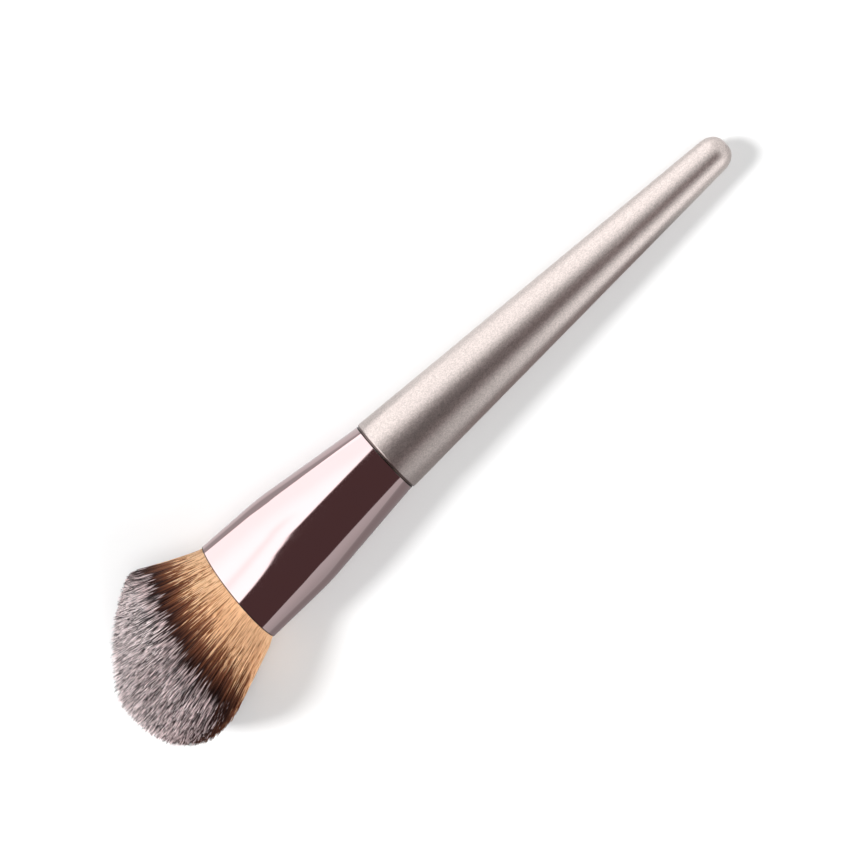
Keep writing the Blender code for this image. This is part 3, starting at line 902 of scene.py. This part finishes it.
def set_glue():
    finish = Finish("hardened_glue", GLUE_COLOUR, 0.25)
    place = finish.place()
    clouds = finish.noise(place, 900, 3)
    bubble = ease(finish.cells(place, BUBBLES_PER_METRE, "Distance"), 0.3, 0.1)
    tint = finish.mix(bubble * 0.6, finish.mix(clouds, CLEAR_GLUE, MILKY_GLUE), BUBBLE_COLOUR)
    return finish.coat(tint, 0.18 + 0.25 * clouds, bubble, BUBBLE_BUMP, 0.6)


def cast_resin():
    finish = Finish("amber_epoxy", RESIN_COLOUR, 0.16)
    place = finish.place()
    hair = ease(finish.cells(finish.stretched(place, SET_HAIR_GRAIN), 1.0, "Distance"), 0.42, 0.2)
    clouds = finish.noise(place, 350, 3)
    tint = finish.mix(hair * 0.7, finish.mix(clouds, DARK_RESIN, PALE_RESIN), SET_HAIR_COLOUR)
    return finish.coat(tint, 0.12 + 0.16 * clouds + 0.15 * hair, hair, SET_HAIR_BUMP, 0.4)


def finish_solids(material, *nodes):
    for node in nodes:
        for place in frame["nodes"][node].material_slots:
            place.material = material
        print(node, "is finished as", material.name)


finish_solids(cast_resin(), "root_resin")
finish_solids(set_glue(), "tenon_glue_1", "tenon_glue_2")

# %% [markdown]
# The fourth is the thread that ties the roots. Its solid is a plain band; the real one is wound up and down
# in layers. Geometry Nodes lay it: a line of points gets its angle, height and depth from how many turns it
# has made, and a thin round section follows it.

# %% Wind the binding thread
PLY_GRAIN, PLY_ANGLE, PLY_BUMP = (9000, 2600, 2600), 0.6, 0.00003
SOILED_THREAD, CLEAN_THREAD = (0.7, 0.66, 0.57), (0.86, 0.84, 0.79)


def spin_thread():
    finish = Finish("binding_thread", (0.8, 0.78, 0.72), 0.8)
    place = finish.place()
    ply = finish.grain(place, PLY_GRAIN, 2, (0.0, 0.0, PLY_ANGLE))
    tint = finish.mix(finish.noise(place, 500, 3), SOILED_THREAD, CLEAN_THREAD)
    return finish.coat(tint, 0.65 + 0.25 * ply, ply, PLY_BUMP, 0.8)


def plan_winding(**band):
    wind = Grower("wind_the_thread")
    wind.inlets(
        **band, squareness=PRESSED_SQUARENESS, thickness=0.00028, layers=3, layer_step=0.00025,
        points_per_turn=64)
    thickness = wind.thickness
    tall = wind.highest - wind.lowest
    turns = wind.do("FLOOR", tall / thickness)
    line = wind.line(wind.layers * turns * wind.points_per_turn)
    made = wind.add("GeometryNodeInputIndex") / wind.points_per_turn
    layer = wind.do("FLOOR", made / turns)
    in_layer = made - layer * turns
    climbed = between(in_layer, turns - in_layer, layer % 2.0) / turns
    height = wind.lowest + thickness / 2.0 + climbed * (tall - thickness)
    layers_left = wind.layers - 1.0 - layer - ease(in_layer, turns - 0.4, turns)
    inset = thickness / 2.0 + largest(layers_left, 0.0) * wind.layer_step

    oval_x, oval_y = wind.oval(made * (2 * math.pi), wind.squareness)
    place = wind.vector((wind.half_thickness - inset) * oval_x, (wind.half_width - inset) * oval_y, height)
    line = wind.set_position(line, place)
    section = wind.add("GeometryNodeCurvePrimitiveCircle", {"Resolution": 6, "Radius": thickness / 2.0})
    thread = wind.add("GeometryNodeCurveToMesh", {
        "Curve": line, "Profile Curve": section, "Fill Caps": True})
    wind.end(thread, spin_thread())
    return wind


def wind_thread():
    """Winds the thread to the size of its packed band."""
    offsets = [vertex.co - MOUTH for vertex in frame["nodes"]["root_thread"].data.vertices]
    heights = [offset.dot(TO_HAIR) for offset in offsets]
    plan = plan_winding(
        lowest=min(heights), highest=max(heights),
        half_thickness=max(abs(offset.dot(UP_THROUGH)) for offset in offsets),
        half_width=max(abs(offset.dot(TO_SHORT_SIDE)) for offset in offsets))
    hand_over(plan.grow("wound_thread"), "thread", "root_thread")


wind_thread()

# %% [markdown]
# Each hair is a synthetic fibre, dyed after it is tapered: a pale lilac-grey tip, a dark brown band, and tan
# down to the root. The bands keep their distance from the tip, so the dark one follows the dome's edge. The
# finish reads that distance, and which hair it is on, from the flat map that the tree below writes: a column
# for every hundred hairs or so, and up it the distance back from the tip. Each column has its own band ends
# and its own glints, the lighter and darker stretches where a hair turns in the light.

# %% Dye the hair
DYE_COLUMNS, COLUMN_SHIFT = 256, 7.31
DYE_REACH = 0.04
PALE_LENGTH, PALE_SWING, PALE_BLEED = 0.0040, 0.0036, 0.0006
BROWN_LENGTH, BROWN_SWING, BROWN_BLEED, DARK_BLEED = 0.0068, 0.0044, 0.001, 0.0008
PALE_DYE, TIP_HIGHLIGHT_COLOUR, TIP_HIGHLIGHT_SPAN = (0.80, 0.63, 0.63), (1.0, 0.87, 0.87), (0.0024, 0.0004)
DARK_DYE, BROWN_DYE, TAN_DYE = (0.03, 0.009, 0.007), (0.26, 0.09, 0.043), (1.0, 0.65, 0.39)
GLINT_LENGTH, GLINT_SWING, GLINT_EDGE = 0.0024, 0.3, (0.36, 0.64)
TAN_CONTRASTS, TAN_CONTRAST_LENGTH, TAN_SHADES = (0.7, 0.3), 0.008, (1.45, 1.8)


def dye_hair():
    finish = Finish("three_colour_fibre", TAN_DYE, 0.42, **{"Specular IOR Level": 0.25})
    column, back, _ = parts(finish.add("ShaderNodeUVMap", uv_map="OFBake"))
    number = finish.do("FLOOR", column * DYE_COLUMNS)
    first, second, third = parts(finish.add(
        "ShaderNodeTexWhiteNoise", {"W": number}, "Color", noise_dimensions="1D"))
    back = back * DYE_REACH
    pale_end = PALE_LENGTH + swing(first, PALE_SWING)
    brown_end = pale_end + BROWN_LENGTH + swing(second, BROWN_SWING)
    glints = finish.noise(finish.vector(number * COLUMN_SHIFT, back / GLINT_LENGTH), 1.0, 0.0)
    glint = ease(glints + swing(third, GLINT_SWING), *GLINT_EDGE)
    # Painted light mixed with random tone: the grey is lighter where the column is low and darker where it is
    # high.
    shade = (0.06 + 1.2 * glint) * between(1.2, 0.8, column)
    # Painted highlight: the last two millimetres of each hair fade to a lighter colour, as if the tips caught
    # the light.
    pale = finish.mix(ease(back, *TIP_HIGHLIGHT_SPAN), PALE_DYE, TIP_HIGHLIGHT_COLOUR)
    pale = finish.shaded(pale, shade, shade, shade)
    # Painted shade: in the tan the darker stretches stand in for the shadows between hairs, stronger next to
    # the band.
    contrast = fade(back, *TAN_CONTRASTS, brown_end, brown_end + TAN_CONTRAST_LENGTH)
    shade = 1.0 - contrast * (1.0 - glint) ** 3.0
    tan = finish.shaded(TAN_DYE, shade, shade ** TAN_SHADES[0], shade ** TAN_SHADES[1])
    brown = finish.mix(ease(back, pale_end + DARK_BLEED, brown_end), DARK_DYE, BROWN_DYE)
    colour = finish.mix(ease(back, pale_end - PALE_BLEED, pale_end + PALE_BLEED), pale, brown)
    colour = finish.mix(ease(back, brown_end - BROWN_BLEED, brown_end + BROWN_BLEED), colour, tan)
    return finish.coat(colour, 0.3 + 0.14 * second)


FIBRE = dye_hair()
print("dye columns:", DYE_COLUMNS)

# %% [markdown]
# Geometry Nodes grow the tuft by the rules that a brush maker follows. A grid of roots fills the ferrule's
# oval mouth, and on each root stands a line of points, which the formulas bend: hair swells over the rim,
# fans out more on the short side, gathers into locks, strays a little, and ends on a slanted dome. A small
# triangle swept along each line gives it a body, and smooth shading makes it look round. A few dozen faces a
# hair are all that can be spared, and the tuft is grown in bundles, so that no mesh gets too large. There
# are fewer hairs than on a real brush, so one looks deeper in: the inner ones stay pale for longer.

# %% Size the tuft
BUNDLES = 9
HAIR_STEPS = 7
TUFT_SIZES = {
    "bundle": 0, "bundles": BUNDLES, "seed": 11,
    # The roots fill an oval. Each is moved by a share of the spacing, and stands this deep in the mouth.
    "root_half_thickness": 0.0066, "root_half_width": 0.0120, "root_squareness": PRESSED_SQUARENESS,
    "root_spacing": 0.00009, "root_swing_share": 0.6, "root_depth": 0.0023,
    # A hair is thinner at its tip, and those near the tuft's outside are thicker.
    "hair_thickness": 0.00015, "tip_thickness_share": 0.55, "outer_thickness_share": 1.4,
    "taper_start": 0.7, "outer_start": 0.75,
    # The dome: its shoulder falls to the short side and at the corners, and its crown is uneven.
    "shoulder_height": 0.0194, "slant_rise": 0.0026, "crown_height": 0.0358, "uneven_crown": 0.0012,
    "long_side_corner_cut": 0.0068, "short_side_corner_cut": 0.0026,
    "long_side_power": 2.2, "short_side_power": 1.02,
    "long_side_roundness": 0.5, "short_side_roundness": 1.0,
    "tip_stagger": 0.0024, "lock_stagger_share": 0.15, "hair_stagger_share": 0.95,
    # The spread: a swelling over the rim, then a flare for each metre risen, which can grow or fade.
    "swell_length": 0.0006, "thin_swell": 0.0004, "wide_swell": 0.0006,
    "thin_flare": 0.29, "thin_flare_fade": 0.2, "short_side_flare": 0.40, "short_side_curl": 6.5,
    "long_side_flare": 0.32, "long_side_curl": 1.4,
    # Locks draw hairs together above the rim and let go at the tips. Each hair leans and strays by itself.
    "gather_height": 0.004, "release_share": 0.75, "release_start": 0.6,
    "fine_lock_size": 0.0002, "fine_lock_pull": 0.4, "broad_lock_size": 0.0011, "broad_lock_pull": 0.08,
    "lock_tilt": 0.03, "hair_tilt": 0.035, "long_side_lean": 0.028, "stray": 0.00012,
    "strays_across": 900.0, "strays_along": 55.0,
    # The table under the tuft, measured from the brush's axis.
    "table_at_mouth": 0.01098, "table_slope": 0.04024, "table_gap": 0.00012,
    # The dye: how it moves back at the corners, and how slowly it changes on the inner hairs.
    "corner_trim": 0.0040, "long_side_trim": 0.0037, "band_drop": 0.0011,
    "inner_dye_start": 0.003, "inner_dye_share": 0.15, "loose_dye_share": 0.35,
}
print("the tuft has", len(TUFT_SIZES), "sizes")

# %% Plant the roots


def plant_roots(tuft):
    """A grid of roots, cut to the mouth's oval and to one bundle, and what the rest must know of them."""
    wide, thin = 2.0 * tuft.root_half_width, 2.0 * tuft.root_half_thickness
    grid = tuft.add("GeometryNodeMeshGrid", {
        "Size X": thin, "Size Y": wide,
        "Vertices X": thin / tuft.root_spacing + 1.0, "Vertices Y": wide / tuft.root_spacing + 1.0})
    index = tuft.add("GeometryNodeInputIndex")
    chance_x, chance_y, _ = parts(draw_chances(tuft, index, tuft.seed, 1))
    width = tuft.root_swing_share * tuft.root_spacing
    grid = tuft.add("GeometryNodeSetPosition", {
        "Geometry": grid, "Offset": tuft.vector(swing(chance_x, width), swing(chance_y, width))})
    grid, tuft.number = tuft.keep(grid, "INT", index)
    grid, root = tuft.keep(grid, "VECTOR", tuft.add("GeometryNodeInputPosition"))
    tuft.root_x, tuft.root_y, _ = parts(root)

    power = tuft.root_squareness
    tuft.across, tuft.along = abs(tuft.root_x) / tuft.root_half_thickness, tuft.root_y / tuft.root_half_width
    tuft.nearness = (tuft.across ** power + abs(tuft.along) ** power) ** (1.0 / power)
    tuft.lean = tuft.along / largest(tuft.nearness, 0.001)
    tuft.side = (1.0 + tuft.lean) / 2.0
    elsewhere = abs(tuft.number % tuft.bundles - tuft.bundle) > 0.5
    tuft.roots = tuft.add("GeometryNodeDeleteGeometry", {
        "Geometry": grid, "Selection": largest(tuft.nearness > 1.0, elsewhere)})


def draw_chances(tuft, number, seed, draw):
    """Three random numbers from 0 to 1 for each whole number, the same in every run."""
    values = {"ID": number, "Seed": seed + draw * 101}
    return tuft.add("FunctionNodeRandomValue", values, data_type="FLOAT_VECTOR")


def by_side(tuft, what):
    """A size that differs on the two sides, at the place that a hair has between them."""
    return between(getattr(tuft, "long_side_" + what), getattr(tuft, "short_side_" + what), tuft.side)


def find_lock(tuft, root, width, unevenness):
    """The middle of the lock that a root belongs to. Locks are cells over the roots."""
    values = {"Vector": root, "Scale": 1.0 / width, "Randomness": unevenness}
    return tuft.add("ShaderNodeTexVoronoi", values, "Position", voronoi_dimensions="2D")


# %% Raise the hairs to the dome


def raise_hairs(tuft):
    """A line on each root, and how high each of its points stands before it is bent."""
    lines = tuft.add("GeometryNodeInstanceOnPoints", {
        "Points": tuft.roots, "Instance": tuft.line(HAIR_STEPS + 1)})
    lines = tuft.add("GeometryNodeRealizeInstances", {"Geometry": lines})
    factor = tuft.add("GeometryNodeSplineParameter", None, "Factor")
    tuft.lines, tuft.share = tuft.keep(lines, "FLOAT", factor)

    root = tuft.vector(tuft.root_x, tuft.root_y)
    tuft.fine = find_lock(tuft, root, tuft.fine_lock_size, 0.9)
    tuft.broad = find_lock(tuft, root, tuft.broad_lock_size, 1.0)
    tuft.lock_chances = parts(tuft.fine.beside("Color"))
    tuft.own_chances = parts(draw_chances(tuft, tuft.number, tuft.seed, 2))

    dome = (1.0 - smallest(tuft.nearness, 1.0) ** by_side(tuft, "power")) ** by_side(tuft, "roundness")
    tuft.cornered = tuft.lean * tuft.lean * tuft.lean * tuft.lean
    cut = tuft.cornered * by_side(tuft, "corner_cut")
    rim_height = tuft.shoulder_height - tuft.slant_rise * tuft.lean - cut
    lock_stagger = tuft.lock_stagger_share * tuft.lock_chances[0] ** 1.5
    tuft.cut_short = (lock_stagger + tuft.hair_stagger_share * tuft.own_chances[0]) * tuft.tip_stagger
    tuft.tip = between(rim_height, tuft.crown_height, dome) - tuft.cut_short
    tuft.tip = tuft.tip - tuft.uneven_crown * tuft.along * (1.0 - tuft.nearness)
    tuft.height = between(-tuft.root_depth, tuft.tip, tuft.share)
    tuft.risen = largest(tuft.height, 0.0)


# %% Bend the hairs


def bend_hairs(tuft):
    """Gathers the lines into locks, spreads them over the rim and lets them lean and stray."""
    risen = tuft.risen
    release = tuft.release_share * ease(tuft.share, tuft.release_start, 1.0)
    gather = ease(risen, 0.0, tuft.gather_height) * (1.0 - release)
    locks = list(zip(parts(tuft.fine), parts(tuft.broad)))

    def gathered(own, fine, broad):
        pull = (fine - own) * tuft.fine_lock_pull + (broad - own) * tuft.broad_lock_pull
        return own + pull * gather

    swell = 1.0 - math.e ** (-beyond(tuft.height + rim_drop(tuft.root_y), 0.0) / tuft.swell_length)
    fading = 1.0 - risen / tuft.thin_flare_fade
    spread_x = tuft.thin_swell * swell + tuft.thin_flare * risen * fading
    flare, curl = by_side(tuft, "flare"), by_side(tuft, "curl")
    spread_y = tuft.wide_swell * swell + flare * risen + curl * risen * risen
    x = gathered(tuft.root_x, *locks[0]) * (1.0 + spread_x / tuft.root_half_thickness)
    y = gathered(tuft.root_y, *locks[1]) * (1.0 + spread_y / tuft.root_half_width)

    place = tuft.vector(
        tuft.root_x * tuft.strays_across, tuft.root_y * tuft.strays_across, tuft.height * tuft.strays_along)
    drift_x, drift_y, _ = parts(tuft.add("ShaderNodeTexNoise", {
        "Vector": place, "Scale": 1.0, "Detail": 1.0}, "Color"))
    wildness = 1.0 + 3.0 * tuft.own_chances[1] ** 12.0
    loose = (risen / tuft.crown_height) ** 1.3 * tuft.stray * wildness * 2.0
    tilts = [swing(tuft.lock_chances[axis], tuft.lock_tilt) + swing(tuft.own_chances[axis], tuft.hair_tilt)
             for axis in (1, 2)]
    x = x + swing(drift_x, loose) + tilts[0] * risen
    y = y + swing(drift_y, loose) + (tilts[1] - tuft.long_side_lean) * risen
    x = largest(x, tuft.table_gap - tuft.table_at_mouth - tuft.table_slope * tuft.height)
    tuft.lines = tuft.set_position(tuft.lines, tuft.vector(x, y, tuft.height))


# %% Find each place on the dye
# Where a hair's three corners lie across its column. The middle one is raised, so that no face of the map
# is a line.
CORNER_START, CORNER_STEP, MIDDLE_RAISE = 0.15, 0.35, 0.004


def dye_place(tuft, corner):
    """The flat map: the hair's column across, and up it the distance back from the tip."""
    chance = parts(draw_chances(tuft, tuft.number, tuft.seed, 3))[0]
    column = between(tuft.lock_chances[2], chance, tuft.own_chances[2] > tuft.loose_dye_share)
    # Half of the column comes from the root's distance from the oval's middle, so the grey is painted lighter
    # at the outline and darker on the broad faces.
    column = between(column, ease(tuft.across, 0.0, 0.6), 0.5) * DYE_COLUMNS
    column = smallest(tuft.do("FLOOR", column), DYE_COLUMNS - 1)
    back = (1.0 - tuft.share) * (tuft.tip + tuft.root_depth) + 0.5 * tuft.cut_short
    sharply = tuft.cornered * tuft.cornered
    trim = tuft.corner_trim * between(tuft.cornered, sharply, tuft.side)
    trim = trim + tuft.long_side_trim * sharply * (1.0 - tuft.side)
    back = back + trim * tuft.nearness - tuft.band_drop * ease(tuft.lean, 0.1, 0.4)
    step = fade(tuft.nearness, tuft.inner_dye_share, 1.0, 0.4, 0.8)
    back = smallest(back, tuft.inner_dye_start) + beyond(back, tuft.inner_dye_start) * step
    on_middle = abs(corner - 1.0) < 0.5
    across = (column + CORNER_START + CORNER_STEP * corner) / DYE_COLUMNS
    return tuft.vector(across, back / DYE_REACH + MIDDLE_RAISE * on_middle)


def plan_tuft():
    tuft = Grower("grow_a_tuft")
    tuft.inlets(**TUFT_SIZES)
    plant_roots(tuft)
    raise_hairs(tuft)
    bend_hairs(tuft)
    section = tuft.add("GeometryNodeCurvePrimitiveCircle", {"Resolution": 3, "Radius": 1.0})
    section, corner = tuft.keep(section, "INT", tuft.add("GeometryNodeInputIndex"))
    taper = fade(tuft.share, 1.0, tuft.tip_thickness_share, tuft.taper_start, 1.0)
    outer = fade(tuft.nearness, 1.0, tuft.outer_thickness_share, tuft.outer_start, 1.0)
    radius = tuft.hair_thickness * taper * outer / 2.0
    body = tuft.add("GeometryNodeCurveToMesh", {
        "Curve": tuft.lines, "Profile Curve": section, "Scale": radius, "Fill Caps": True})
    tuft.end(tuft.store_map(body, dye_place(tuft, corner)), FIBRE)
    return tuft


# %% Grow it in bundles
tuft_plan = plan_tuft()
for number in range(BUNDLES):
    hand_over(tuft_plan.grow(f"hair_bundle_{number + 1}", bundle=number), "synthetic_hair", "bristles")
